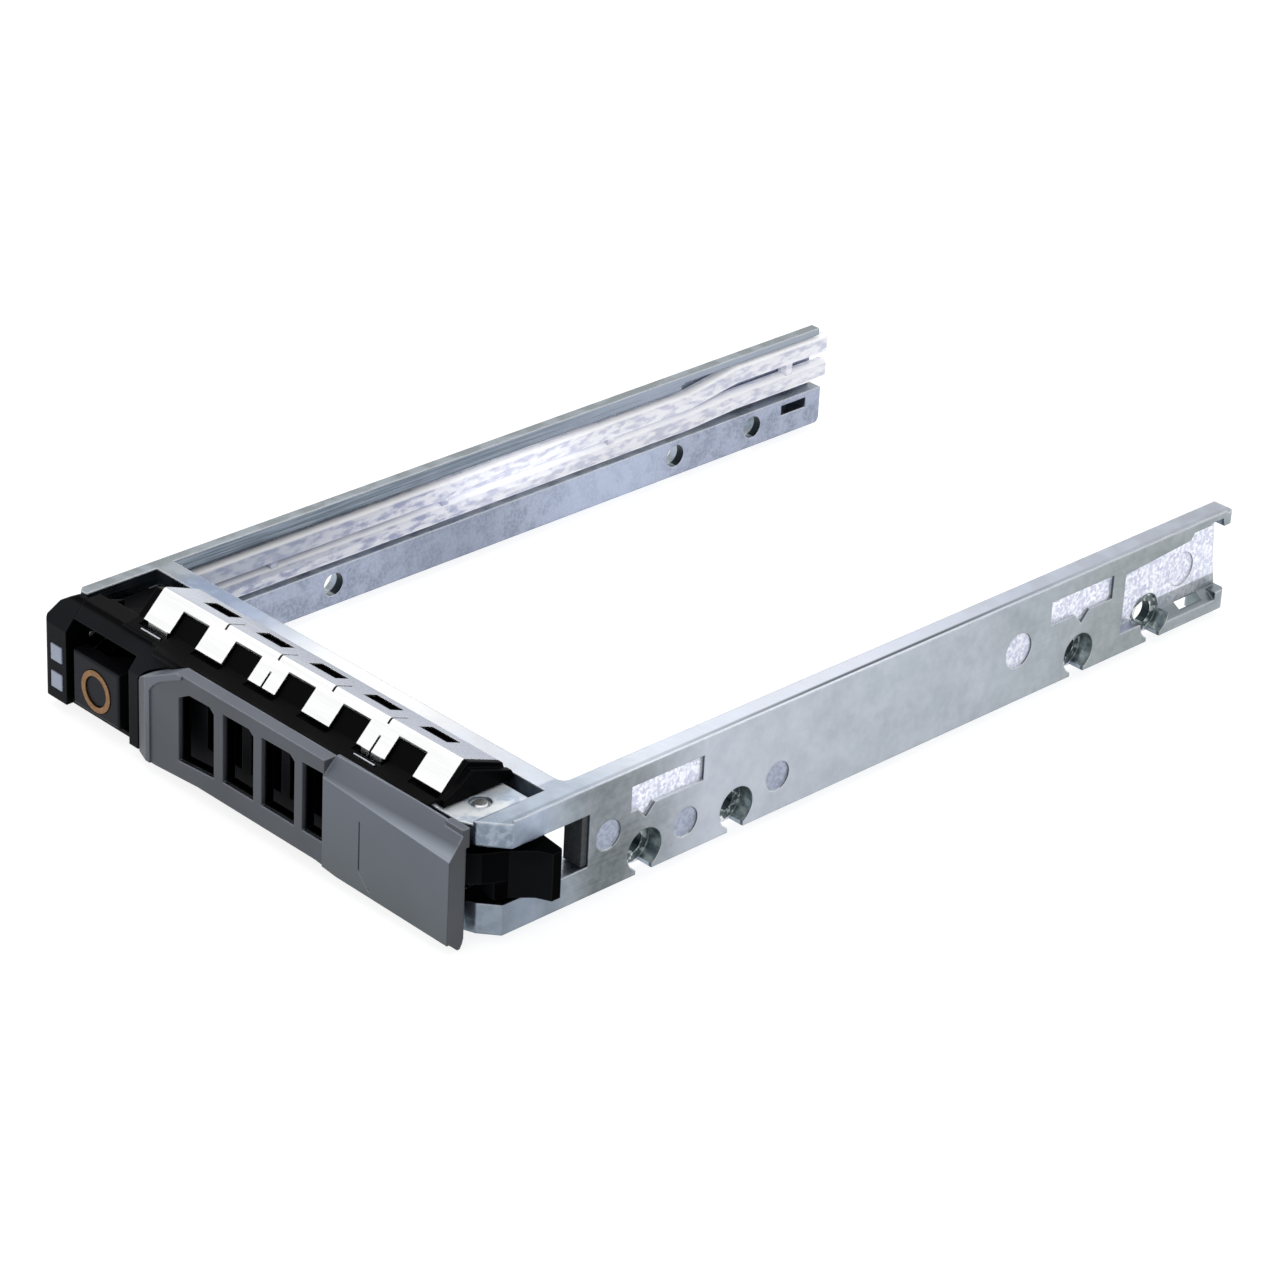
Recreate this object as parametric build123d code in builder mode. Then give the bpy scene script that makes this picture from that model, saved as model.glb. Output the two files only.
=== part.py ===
"""Hot swap caddy for a 2.5 inch drive: a die-cast tray with a moulded front and a lever handle.

X runs across the front, Y from the handle towards the connector end, Z up from the rails' underside.
All sizes are in millimetres. The handle is shut and the release button is out. Depths are drawn from
the plane of the tray's front end, and each piece is then carried to the part's origin, which is the
middle of the cross bar's underside.
"""
import os

from build123d import *

os.makedirs("parts", exist_ok=True)

# The drive that is carried: its width and side screw holes set the size of the tray.
drive_width = 69.85
drive_side_play = 0.125
drive_hole_pitch = 76.6
drive_hole_height = 3.0
drive_nose_to_hole = 9.85
drive_shift = 15.07

# The tray.
rail_thick = 3.45
rail_top = 14.1
rail_past_hole = 14.5
bar_thick = 2.8
bar_back = 15.0
bar_to_drive = 0.45
bay_half = drive_width / 2 + drive_side_play
outer = bay_half + rail_thick
bar_front = bar_back - bar_thick
hole_front = bar_back + bar_to_drive + drive_nose_to_hole
hole_rows = [hole_front, hole_front + drive_hole_pitch]
hole_rows += [row + drive_shift for row in hole_rows]
rail_rear = max(hole_rows) + rail_past_hole
to_origin = Location((0, -(bar_front + bar_back) / 2, 0))

# Screw holes in the rails, each in a round recess that just opens to the underside.
screw_bore = 1.6
screw_recess = 2.75
screw_recess_depth = 2.2
screw_recess_mouth = 1.3

# The two ears at the front right corner, which carry the pivot pin of the handle.
ear_front = 0.6
ear_left = outer - 10.3
ear_low_top = 4.0
ear_high_under = 11.0
ear_plate_top = 13.7
ear_back = 10.1
ear_low_corner = [(3.6, 0.0), (2.3, 0.5), (0.0, 2.45)]
ear_high_corner = [(4.9, 0.0), (3.1, 0.85), (0.0, 3.6)]
hook_opening_back = 16.2
hook_window_left = ear_left - 2.7
pivot = (outer - 6.7, 5.3)
pin_radius = 1.0
running_play = 0.05
part_gap = 0.3

# The left rail, with a channel for the light pipe.
left_front = 1.3
left_rear = rail_rear - 1.0
left_bevel = 1.05
channel_floor = -outer + 1.0
channel_low = 5.4
channel_high = 11.8
channel_rear_high = 13.1
lip_inner = -outer + 2.5
lip_step = 12.9
wall_inner = -outer + 2.8

# The front moulding.
front_face = -2.6
front_bend = 10.4
moulding_low = 0.3
moulding_top = 14.0
moulding_left = -outer - 0.8
moulding_right = ear_left - 0.2
moulding_body_front = 1.0
recess_x = (-outer + 3.65, -outer + 16.1)
recess_z = (0.9, 11.9)
recess_back = 8.5

# The gasket on the ridge behind the handle: six legs with windows between them.
gasket_left = -outer + 13.3
gasket_right = outer - 9.65
gasket_leg = 4.9
gasket_windows = 5
gasket_pitch = (gasket_right - gasket_left - gasket_leg) / gasket_windows
ridge_foot = (1.95, 14.75)
ridge_crest = (5.2, 18.05)
ridge_rear = (10.45, 16.05)
ridge_drop = (10.75, 15.1)
lip_legs = (0, 4)
lip_front = 0.75

# The handle.
cover_front = -3.5
cover_back = -1.0
cover_low = 0.2
cover_top = 14.6
cover_left = -outer + 18.1
cover_right = outer - 2.0
cover_skin = 1.2
cover_front_skin = 0.75
cover_step = cover_left + 35.1
arm_front = cover_front + cover_front_skin + 0.1
arm_low = 1.8
arm_high = 12.3
hub_low = 4.35
hub_eye_low = 6.5
hub_high = 10.5
hook_right = outer + 3.3
hook_front = 7.5
hook_back = 9.2
cover_corner = [(0.0, 9.9), (0.5, 10.7), (1.1, 11.1), (8.1, cover_top)]
cover_grille_back = cover_back - 0.45

# Vent slots of the handle: left and right edge from the cover's left end, lower edge and upper edge.
vent_places = [
    (8.5, 15.1, 3.3, 12.6),
    (16.8, 22.4, 3.55, 12.8),
    (23.9, 29.85, 3.6, 12.8),
    (31.25, 34.9, 3.65, 12.8),
]
vents = [(cover_left + left, cover_left + right, low, high) for left, right, low, high in vent_places]
vent_corner = (0.85, 0.65)
vent_first_corner = (2.0, 1.2)

# The release button, its ring and the catch that it drives.
button_x = (recess_x[0] + 1.15, recess_x[1] - 2.3)
button_z = (1.1, 8.5)
button_front = -2.4
button_travel = 1.5
catch_travel = 1.2
ring_center = (recess_x[0] + 5.75, 4.55)
ring_radius = 2.8
catch_front = 1.6
catch_y = (5.1, 8.1)
catch_z = (3.4, 6.6)
catch_left = recess_x[0] + 1.6
catch_right = cover_left - 0.1
catch_play = 0.2
nose_pocket_x = (cover_left - 0.25, cover_left + 3.5)

# The light pipe: heights of its two strands at the windows, along the rail and at the rear end.
strand_high = 2.6
strand_x = (-outer + 1.2, -outer + 3.1)
strand_levels = [(6.75, 10.05, 11.45), (2.95, 6.95, 7.5)]
window_x = (-outer + 0.75, -outer + 2.85)
window_high = 2.2
strand_rise_y = (104.0, 114.0)
strand_rear = rail_rear + 0.7


def block(x, y, z, mode=Mode.ADD):
    """Add or cut a box that lies between two values on each axis."""
    with Locations(((x[0] + x[1]) / 2, (y[0] + y[1]) / 2, (z[0] + z[1]) / 2)):
        Box(x[1] - x[0], y[1] - y[0], z[1] - z[0], mode=mode)


def side_prism(points, x, mode=Mode.ADD):
    """Add or cut a side view outline (y, z), carried across from x[0] to x[1]."""
    with BuildSketch(Plane.YZ.offset(x[0])) as profile:
        with BuildLine():
            Polyline(*points, close=True)
        make_face()
    extrude(profile.sketch, amount=x[1] - x[0], dir=(1, 0, 0), mode=mode)


def plan_prism(points, z, mode=Mode.ADD):
    """Add or cut a plan outline (x, y), carried up from z[0] to z[1]."""
    with BuildSketch(Plane.XY.offset(z[0])) as profile:
        with BuildLine():
            Polyline(*points, close=True)
        make_face()
    extrude(profile.sketch, amount=z[1] - z[0], dir=(0, 0, 1), mode=mode)


def front_prism(points, y, mode=Mode.ADD):
    """Add or cut a front view outline (x, z), carried back from y[0] to y[1]."""
    with BuildSketch(Plane.XZ.offset(-y[0])) as profile:
        with BuildLine():
            Polyline(*points, close=True)
        make_face()
    extrude(profile.sketch, amount=y[1] - y[0], dir=(0, 1, 0), mode=mode)


def round_x(y, z, radius, x, mode=Mode.ADD):
    """Add or cut a round bar along X."""
    with BuildSketch(Plane.YZ.offset(x[0])) as disc:
        with Locations((y, z)):
            Circle(radius)
    extrude(disc.sketch, amount=x[1] - x[0], dir=(1, 0, 0), mode=mode)


def round_y(x, z, radius, y, mode=Mode.ADD):
    """Add or cut a round bar along Y."""
    with BuildSketch(Plane.XZ.offset(-y[0])) as disc:
        with Locations((x, z)):
            Circle(radius)
    extrude(disc.sketch, amount=y[1] - y[0], dir=(0, 1, 0), mode=mode)


def round_z(x, y, radius, z, mode=Mode.ADD):
    """Add or cut a round bar along Z."""
    with BuildSketch(Plane.XY.offset(z[0])) as disc:
        with Locations((x, y)):
            Circle(radius)
    extrude(disc.sketch, amount=z[1] - z[0], dir=(0, 0, 1), mode=mode)


def screw_place(row, face_x, inward):
    """Cut one side screw hole, with its round recess in the outer face and a mouth below it."""
    floor_x = face_x + inward * screw_recess_depth
    span = sorted((face_x - inward, floor_x))
    round_x(row, drive_hole_height, screw_recess, span, Mode.SUBTRACT)
    mouth = (row - screw_recess_mouth, row + screw_recess_mouth)
    block(span, mouth, (-1, drive_hole_height), Mode.SUBTRACT)
    through = sorted((face_x, face_x + inward * (rail_thick + 1)))
    round_x(row, drive_hole_height, screw_bore, through, Mode.SUBTRACT)


# The tray is one casting: two rails, the bar across the front and the ears.
rail_slot_y = (122.7, 127.6)
rail_slot_z = (3.1, 4.6)
rail_slot_depth = 2.4
rear_pocket_depth = 1.8
rear_pocket_x = outer - rear_pocket_depth
trough_y = (119.8, 129.4)
trough_web = 2.65
trough_edge = 1.5
trough_hole_y = (123.0, 127.6)
trough_rim = 0.75
label_depth = 0.35
mark_depth = 0.2
small_mark = 1.95
large_mark = 2.4
bead = 0.35
label_spans = [(hole_rows[0], -2.5, 9.2), (hole_rows[1], -6.1, 5.8)]
corner_round = 1.2
screw_bar_x = [-outer + 9.5, outer - 15.1]
screw_bar_z = 7.0
screw_shank = 1.0
screw_head = 1.9
screw_grip = 3.1
air_openings = 4
air_web = 2.4
air_pitch = (screw_bar_x[1] - screw_bar_x[0] - 12 + air_web) / air_openings
air_z = (3.0, 11.0)

with BuildPart() as frame:
    block((bay_half, outer), (ear_front, rail_rear), (0, rail_top))
    block((-outer, -bay_half), (left_front, left_rear), (0, rail_top))
    block((-bay_half, bay_half), (bar_front, bar_back), (0, rail_top))
    corner_edges = frame.edges().filter_by(Axis.Z).filter_by(
        lambda edge: abs(abs(edge.center().X) - bay_half) < 0.01 and abs(edge.center().Y - bar_back) < 0.01
    )
    fillet(corner_edges, radius=corner_round)
    # The ears stand one above the other, with the hook of the handle between them.
    block((ear_left, bay_half + 0.4), (ear_front, ear_back), (ear_high_under, ear_plate_top))
    block((ear_left, bay_half + 0.4), (ear_front, bar_front + 0.5), (0, ear_low_top))
    hook_gap = (ear_low_top, ear_high_under)
    block((bay_half - 0.2, outer + 1), (ear_front - 1, hook_opening_back), hook_gap, Mode.SUBTRACT)
    window_y = (bar_front - 0.1, bar_back + corner_round + 0.1)
    block((hook_window_left, bay_half), window_y, hook_gap, Mode.SUBTRACT)
    for corner, levels in (
        (ear_low_corner, (-1, ear_low_top + 0.5)),
        (ear_high_corner, (ear_high_under - 0.5, rail_top + 1)),
    ):
        cut = [(outer - back, ear_front + depth) for back, depth in corner]
        cut += [(outer + 1, cut[-1][1]), (outer + 1, ear_front - 1), (cut[0][0], ear_front - 1)]
        plan_prism(cut, levels, Mode.SUBTRACT)
    round_z(*pivot, pin_radius + running_play, (-1, rail_top), Mode.SUBTRACT)
    round_z(*pivot, pin_radius + 0.4, (ear_plate_top - 0.5, rail_top), Mode.SUBTRACT)
    # A thin bead runs along the upper outer edge of the right rail.
    bead_front = ear_front + ear_high_corner[-1][1] + 0.2
    block((outer - bead, outer), (bead_front, rail_rear - 1.5), (rail_top - 0.1, rail_top + bead))
    # Outer corners of the left rail.
    bevel = [
        (-outer - 0.1, rail_top - left_bevel - 0.1),
        (-outer - 0.1, rail_top + 0.1),
        (-outer + left_bevel + 0.1, rail_top + 0.1),
    ]
    front_prism(bevel, (left_front - 1, rail_rear + 1), Mode.SUBTRACT)
    tip = [
        (-outer - 0.1, left_front - 0.1),
        (-outer + 1.8, left_front - 0.1),
        (-outer - 0.1, left_front + 1.9),
    ]
    plan_prism(tip, (-1, rail_top + 1), Mode.SUBTRACT)
    # The channel of the light pipe, and the stepped lip above it.
    front_run = (left_front - 1, bar_front)
    rear_run = (bar_back, rail_rear + 1)
    above_channel = (channel_high - 0.5, rail_top + 1)
    block((channel_floor, -bay_half + 1), front_run, (1.2, channel_high), Mode.SUBTRACT)
    block((wall_inner, -bay_half + 1), front_run, above_channel, Mode.SUBTRACT)
    channel_x = (channel_floor, -bay_half)
    block(channel_x, (bar_front - 1, rail_rear + 1), (channel_low, channel_high), Mode.SUBTRACT)
    block(channel_x, (strand_rise_y[0], rail_rear + 1), (channel_low, channel_rear_high), Mode.SUBTRACT)
    block((lip_inner, -bay_half + 0.5), rear_run, above_channel, Mode.SUBTRACT)
    block((lip_inner - 0.5, -bay_half), rear_run, (channel_high - 0.5, lip_step), Mode.SUBTRACT)
    for row in hole_rows:
        screw_place(row, outer, -1)
        screw_place(row, -outer, 1)
    # A small blind slot lies in the bay side of the left rail, near its rear end.
    block((-bay_half - rail_slot_depth, 1 - bay_half), rail_slot_y, rail_slot_z, Mode.SUBTRACT)
    # The rough pocket in the outer face of the right rail, open to the rear.
    pocket = [
        (110.1, 2.9),
        (110.1, 11.5),
        (122.9, 12.4),
        (123.5, 13.3),
        (126.6, 13.3),
        (127.2, 13.6),
        (129.3, 13.6),
        (129.6, 12.4),
        (rail_rear + 1, 12.4),
        (rail_rear + 1, trough_web),
        (trough_y[0], trough_web),
        (trough_y[0], 2.9),
    ]
    side_prism(pocket, (rear_pocket_x, outer + 1), Mode.SUBTRACT)
    web_end = [
        (rail_rear - 1.7, 12.4),
        (rail_rear + 1, 12.4),
        (rail_rear + 1, trough_web),
        (rail_rear - 0.3, trough_web),
        (rail_rear - 1.1, 6.5),
    ]
    side_prism(web_end, (bay_half - 1, outer + 1), Mode.SUBTRACT)
    # Below the pocket the rail's floor falls to a thin outer edge, with an opening beside the web.
    trough = [(rear_pocket_x, trough_web), (outer + 1, trough_edge - 0.6), (outer + 1, trough_web + 1)]
    trough += [(rear_pocket_x, trough_web + 1)]
    front_prism(trough, trough_y, Mode.SUBTRACT)
    block((bay_half - 1, outer - trough_rim), trough_hole_y, (-1, trough_web), Mode.SUBTRACT)
    # Blank label fields with a pointer towards their screw hole, and round marks.
    for row, span_front, span_back in label_spans:
        field = [
            (row + span_front, 8.85),
            (row + span_front, 12.2),
            (row + span_back, 12.2),
            (row + span_back, 8.85),
            (row + 1.4, 8.85),
            (row, 7.3),
            (row - 1.4, 8.85),
        ]
        side_prism(field, (outer - label_depth, outer + 1), Mode.SUBTRACT)
    for mark_y, mark_z, radius in [
        (19.3, 7.15, small_mark),
        (31.9, 4.2, small_mark),
        (47.2, 4.8, small_mark),
        (90.0, 7.3, large_mark),
    ]:
        round_x(mark_y, mark_z, radius, (outer - mark_depth, outer + 1), Mode.SUBTRACT)
    round_x(123.8, 7.2, large_mark, (rear_pocket_x - mark_depth, rear_pocket_x + 1), Mode.SUBTRACT)
    # Air openings and the two screw holes in the bar.
    for opening in range(air_openings):
        air_x = screw_bar_x[0] + 6 + opening * air_pitch
        block((air_x, air_x + air_pitch - air_web), (bar_front - 1, bar_back + 1), air_z, Mode.SUBTRACT)
    for screw_x in screw_bar_x:
        round_y(screw_x, screw_bar_z, screw_shank + 0.1, (bar_front - 1, bar_back + 1), Mode.SUBTRACT)
        round_y(screw_x, screw_bar_z, screw_head + 0.1, (bar_back - 1.3, bar_back + 1), Mode.SUBTRACT)
    rear_corners = frame.edges().filter_by(Axis.Z).filter_by(
        lambda edge: edge.center().X > outer - 0.1 and edge.center().Y > rail_rear - 0.1
    )
    fillet(rear_corners, radius=0.9)
    left_foot = frame.edges().filter_by(Axis.X).filter_by(
        lambda edge: edge.center().X < 0 and edge.center().Y > left_rear - 0.1 and edge.center().Z < 0.1
    )
    fillet(left_foot, radius=0.8)
frame.part.label = "frame"
export_step(to_origin * frame.part, "parts/frame.step")


# The front moulding: light windows at the left end, button recess, grille body and gasket ridge.
ridge_left = gasket_left - 1.6
grille_left = cover_left - part_gap

with BuildPart() as bezel:
    end_profile = [
        (front_face, moulding_low),
        (front_face, front_bend),
        (0.4, moulding_top),
        (left_front - part_gap, moulding_top),
        (left_front - part_gap, moulding_low),
    ]
    side_prism(end_profile, (moulding_left, recess_x[0]))
    # The upper left corner is cut off in two steps that read as one round.
    shoulder = [
        (moulding_left - 1, 11.0),
        (moulding_left, 11.0),
        (moulding_left + 0.9, 12.8),
        (moulding_left + 3.0, moulding_top),
        (moulding_left + 3.0, moulding_top + 1),
        (moulding_left - 1, moulding_top + 1),
    ]
    front_prism(shoulder, (front_face - 1, left_front), Mode.SUBTRACT)
    left_corner = bezel.edges().filter_by(Axis.Z).filter_by(
        lambda edge: edge.center().X < moulding_left + 0.01 and edge.center().Y < front_face + 0.01
    )
    fillet(left_corner, radius=0.9)
    moulding_back = bar_front - part_gap
    button_profile = end_profile[:3] + [(moulding_back, moulding_top), (moulding_back, moulding_low)]
    side_prism(button_profile, (part_gap - bay_half, grille_left))
    # Above the handle's slanted corner the moulding comes forward and leaves an even gap.
    corner_right = cover_left + 6.2
    side_prism(button_profile, (grille_left - 0.1, corner_right))
    corner_room = [(grille_left, 0), (grille_left, 10.0)]
    corner_room += [(cover_left + x - 0.15, z + 0.27) for x, z in cover_corner[1:]]
    corner_room += [(corner_right + 4, cover_top + 1), (corner_right + 4, 0)]
    front_prism(corner_room, (front_face - 1, cover_back + part_gap), Mode.SUBTRACT)
    below_corner = (grille_left, corner_right + 1)
    block(below_corner, (front_face - 1, moulding_body_front), (0, cover_corner[0][1]), Mode.SUBTRACT)
    top_front = (cover_grille_back + part_gap, 0)
    block((grille_left + 1, cover_step - part_gap), top_front, (13.0, moulding_top))
    front_prism(corner_room, (front_face - 1, cover_grille_back + part_gap), Mode.SUBTRACT)
    body_profile = [
        (moulding_body_front, moulding_low),
        (moulding_body_front, 12.4),
        (cover_back + 0.7, 12.7),
        (cover_back + 0.7, moulding_top),
        (moulding_back, moulding_top),
        (moulding_back, moulding_low),
    ]
    side_prism(body_profile, (grille_left, moulding_right))
    ridge = [
        (cover_back + 0.7, 13.95),
        (ridge_foot[0] + 0.4, ridge_foot[1] - 0.35),
        (ridge_crest[0], ridge_crest[1] - 0.62),
        (ridge_rear[0] - 0.6, ridge_rear[1] - 0.4),
        (ridge_rear[0] - 0.6, 13.95),
    ]
    side_prism(ridge, (ridge_left, gasket_right + 0.15))
    # Two steps of the cheek close the right end of the ridge.
    cheek = [
        (0.9, 13.95),
        (ridge_foot[0] - 0.3, ridge_foot[1]),
        ridge_crest,
        ridge_rear,
        ridge_drop,
        (ridge_drop[0] + 0.1, 13.95),
    ]
    side_prism(cheek, (gasket_right + 0.15, gasket_right + 0.9))
    flange = [(0.8, 13.95), (1.0, 14.8), (3.4, 16.0), (5.1, 17.3), (11.1, 15.2), (11.6, 14.3), (11.6, 13.95)]
    side_prism(flange, (gasket_right + 0.9, gasket_right + 1.75))
    # The top is lower in the corner by the left rail.
    sunk_left = -outer + 2.5
    sunk = [
        (sunk_left, 2.7),
        (sunk_left + 3.0, 2.7),
        (sunk_left + 6.6, 7.0),
        (sunk_left + 6.6, bar_front),
        (sunk_left, bar_front),
    ]
    plan_prism(sunk, (12.3, moulding_top + 1), Mode.SUBTRACT)
    block((sunk_left + 4.2, ridge_left), (3.0, 9.6), (12.8, moulding_top + 1), Mode.SUBTRACT)
    # The recess of the button, with a lower edge that is set back.
    block(recess_x, (front_face - 1, recess_back), recess_z, Mode.SUBTRACT)
    block(recess_x, (front_face - 1, front_face + 1.0), (0, recess_z[0] + 0.1), Mode.SUBTRACT)
    # A tunnel for the catch, and a pocket for the handle's nose behind the handle.
    tunnel_y = (catch_y[0] - catch_play, catch_y[1] + catch_play)
    tunnel_z = (catch_z[0] - catch_play, catch_z[1] + catch_play)
    block((recess_x[1] - 1, nose_pocket_x[1]), tunnel_y, tunnel_z, Mode.SUBTRACT)
    block(nose_pocket_x, (-0.5, 10.4), (3.1, 7.0), Mode.SUBTRACT)
    # Windows of the light pipe.
    for level in strand_levels:
        half = window_high / 2 + 0.1
        window = (window_x[0] - 0.1, window_x[1] + 0.1)
        block(window, (front_face - 1, 2), (level[0] - half, level[0] + half), Mode.SUBTRACT)
        strand_half = strand_high / 2 + 0.15
        strand_room = (strand_x[0] - 0.15, strand_x[1] + 0.15)
        block(strand_room, (-1.3, 2), (level[0] - strand_half, level[0] + strand_half), Mode.SUBTRACT)
    # Air ways behind the vent slots.
    for left, right, low, high in vents:
        block((max(left, cover_left + 8.6), right), (0, bar_front), air_z, Mode.SUBTRACT)
    # Slots around the feet of the gasket.
    for leg in range(gasket_windows + 1):
        leg_x = gasket_left + leg * gasket_pitch
        block((leg_x - 0.25, leg_x + gasket_leg + 0.25), (1.3, 2.6), (14.0, 16), Mode.SUBTRACT)
        if leg in lip_legs:
            lip_room = (leg_x + 0.6, leg_x + gasket_leg - 0.1)
            block(lip_room, (lip_front - 0.1, lip_front + 0.35), (13.2, 15), Mode.SUBTRACT)
            block(lip_room, (lip_front, 2.4), (13.2, 13.8), Mode.SUBTRACT)
            block(lip_room, (1.6, 2.4), (13.2, 15), Mode.SUBTRACT)
    thread_depth = (bar_front - screw_grip - 0.1, bar_front)
    for screw_x in screw_bar_x:
        round_y(screw_x, screw_bar_z, screw_shank + 0.02, thread_depth, Mode.SUBTRACT)
bezel.part.label = "bezel"
export_step(to_origin * bezel.part, "parts/bezel.step")


# The gasket: a folded spring sheet with windows in both flanks.
with BuildPart() as emi_gasket:
    sheet = [
        ridge_foot,
        ridge_crest,
        ridge_rear,
        ridge_drop,
        (ridge_drop[0] - 0.28, ridge_drop[1] - 0.05),
        (ridge_rear[0] - 0.22, ridge_rear[1] - 0.18),
        (ridge_crest[0] + 0.02, ridge_crest[1] - 0.32),
        (ridge_foot[0] + 0.2, ridge_foot[1] - 0.15),
    ]
    side_prism(sheet, (gasket_left, gasket_right))
    fillet(emi_gasket.edges().filter_by(Axis.X).group_by(Axis.Z)[-1], radius=0.5)
    for leg in range(gasket_windows + 1):
        leg_x = gasket_left + leg * gasket_pitch
        if leg in lip_legs:
            lip_x = (leg_x + 0.9, leg_x + gasket_leg - 0.4)
            lip = [
                (ridge_foot[0] + 0.2, ridge_foot[1]),
                (ridge_foot[0] + 0.1, 13.35),
                (lip_front, 13.35),
                (lip_front, 14.25),
                (lip_front + 0.2, 14.25),
                (lip_front + 0.2, 13.6),
                (ridge_foot[0] - 0.15, 13.6),
                (ridge_foot[0], ridge_foot[1]),
            ]
            side_prism(lip, lip_x)
    for window in range(gasket_windows):
        open_x = (gasket_left + gasket_leg + window * gasket_pitch, gasket_left + (window + 1) * gasket_pitch)
        block(open_x, (0, 4.25), (14, 18), Mode.SUBTRACT)
        block(open_x, (7.1, 9.3), (15, 18), Mode.SUBTRACT)
    for leg in range(1, gasket_windows):
        slit = gasket_left + leg * gasket_pitch + gasket_leg / 2
        block((slit - 0.17, slit + 0.17), (4.6, 7.7), (16, 19), Mode.SUBTRACT)
        if leg in (2, 4):
            block((slit - 0.17, slit + 0.17), (1.2, 3.5), (13, 17), Mode.SUBTRACT)
emi_gasket.part.label = "emi_gasket"
export_step(to_origin * emi_gasket.part, "parts/emi_gasket.step")


# The light pipe: two clear strands joined by small webs, with a window at each front end.
def strand_outline(level):
    """Give the side outline of one strand from its window level, rail level and rear level."""
    path = [
        (-1.0, level[0]),
        (1.5, level[0]),
        (8.8, level[1]),
        (strand_rise_y[0] + 1, level[1]),
        (strand_rise_y[1], level[2]),
        (strand_rear, level[2]),
    ]
    upper = [(y, z + strand_high / 2) for y, z in path]
    lower = [(y, z - strand_high / 2) for y, z in reversed(path)]
    return upper + lower


web_half = 0.6

with BuildPart() as light_pipe:
    for level in strand_levels:
        outline = strand_outline(level)
        side_prism(outline, strand_x)
    room_side = light_pipe.faces().filter_by(lambda face: face.center().X > strand_x[1] - 0.01)
    fillet(room_side.edges(), radius=0.8)
    for level in strand_levels:
        half = window_high / 2
        block(window_x, (front_face - 0.1, -0.8), (level[0] - half, level[0] + half))
    web_x = (strand_x[0], strand_x[1] - 0.3)
    for web_y, stage in [(31.0, 1), (60.0, 1), (90.0, 1), (124.5, 2)]:
        web_z = (strand_levels[1][stage], strand_levels[0][stage])
        block(web_x, (web_y - web_half, web_y + web_half), web_z)
light_pipe.part.label = "light_pipe"
export_step(to_origin * light_pipe.part, "parts/light_pipe.step")


# The handle's outer cover: a shell with vent slots, a bevelled rim and a wide facet on the right.
cover_rim = 3.1
cover_arch = 0.75
field_depth = 0.2
facet_low_left = 12.4
facet_low_right = 11.0
clip_x = cover_step + 6.5


def vent_outline(vent):
    """Give the front outline of one vent slot. The first follows the cover's slanted corner."""
    left, right, low, high = vent
    across, down = vent_corner
    outline = [(right, low), (right, high - down), (right - across, high)]
    if vent == vents[0]:
        outline += [(left + vent_first_corner[0], high - 0.1), (left, high - vent_first_corner[1])]
        return outline + [(left, low - 0.5)]
    if vent == vents[-1]:
        outline = [(right, low), (right, high)]
    return outline + [(left, high - 0.1), (left, low)]


def facet_outline(low, back):
    """Give the side outline of what the facet cuts away, from its lower edge and its rear edge."""
    return [(cover_front - 0.1, low), (cover_front - 0.1, 15), (back, 15), (back, cover_top)]


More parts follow.
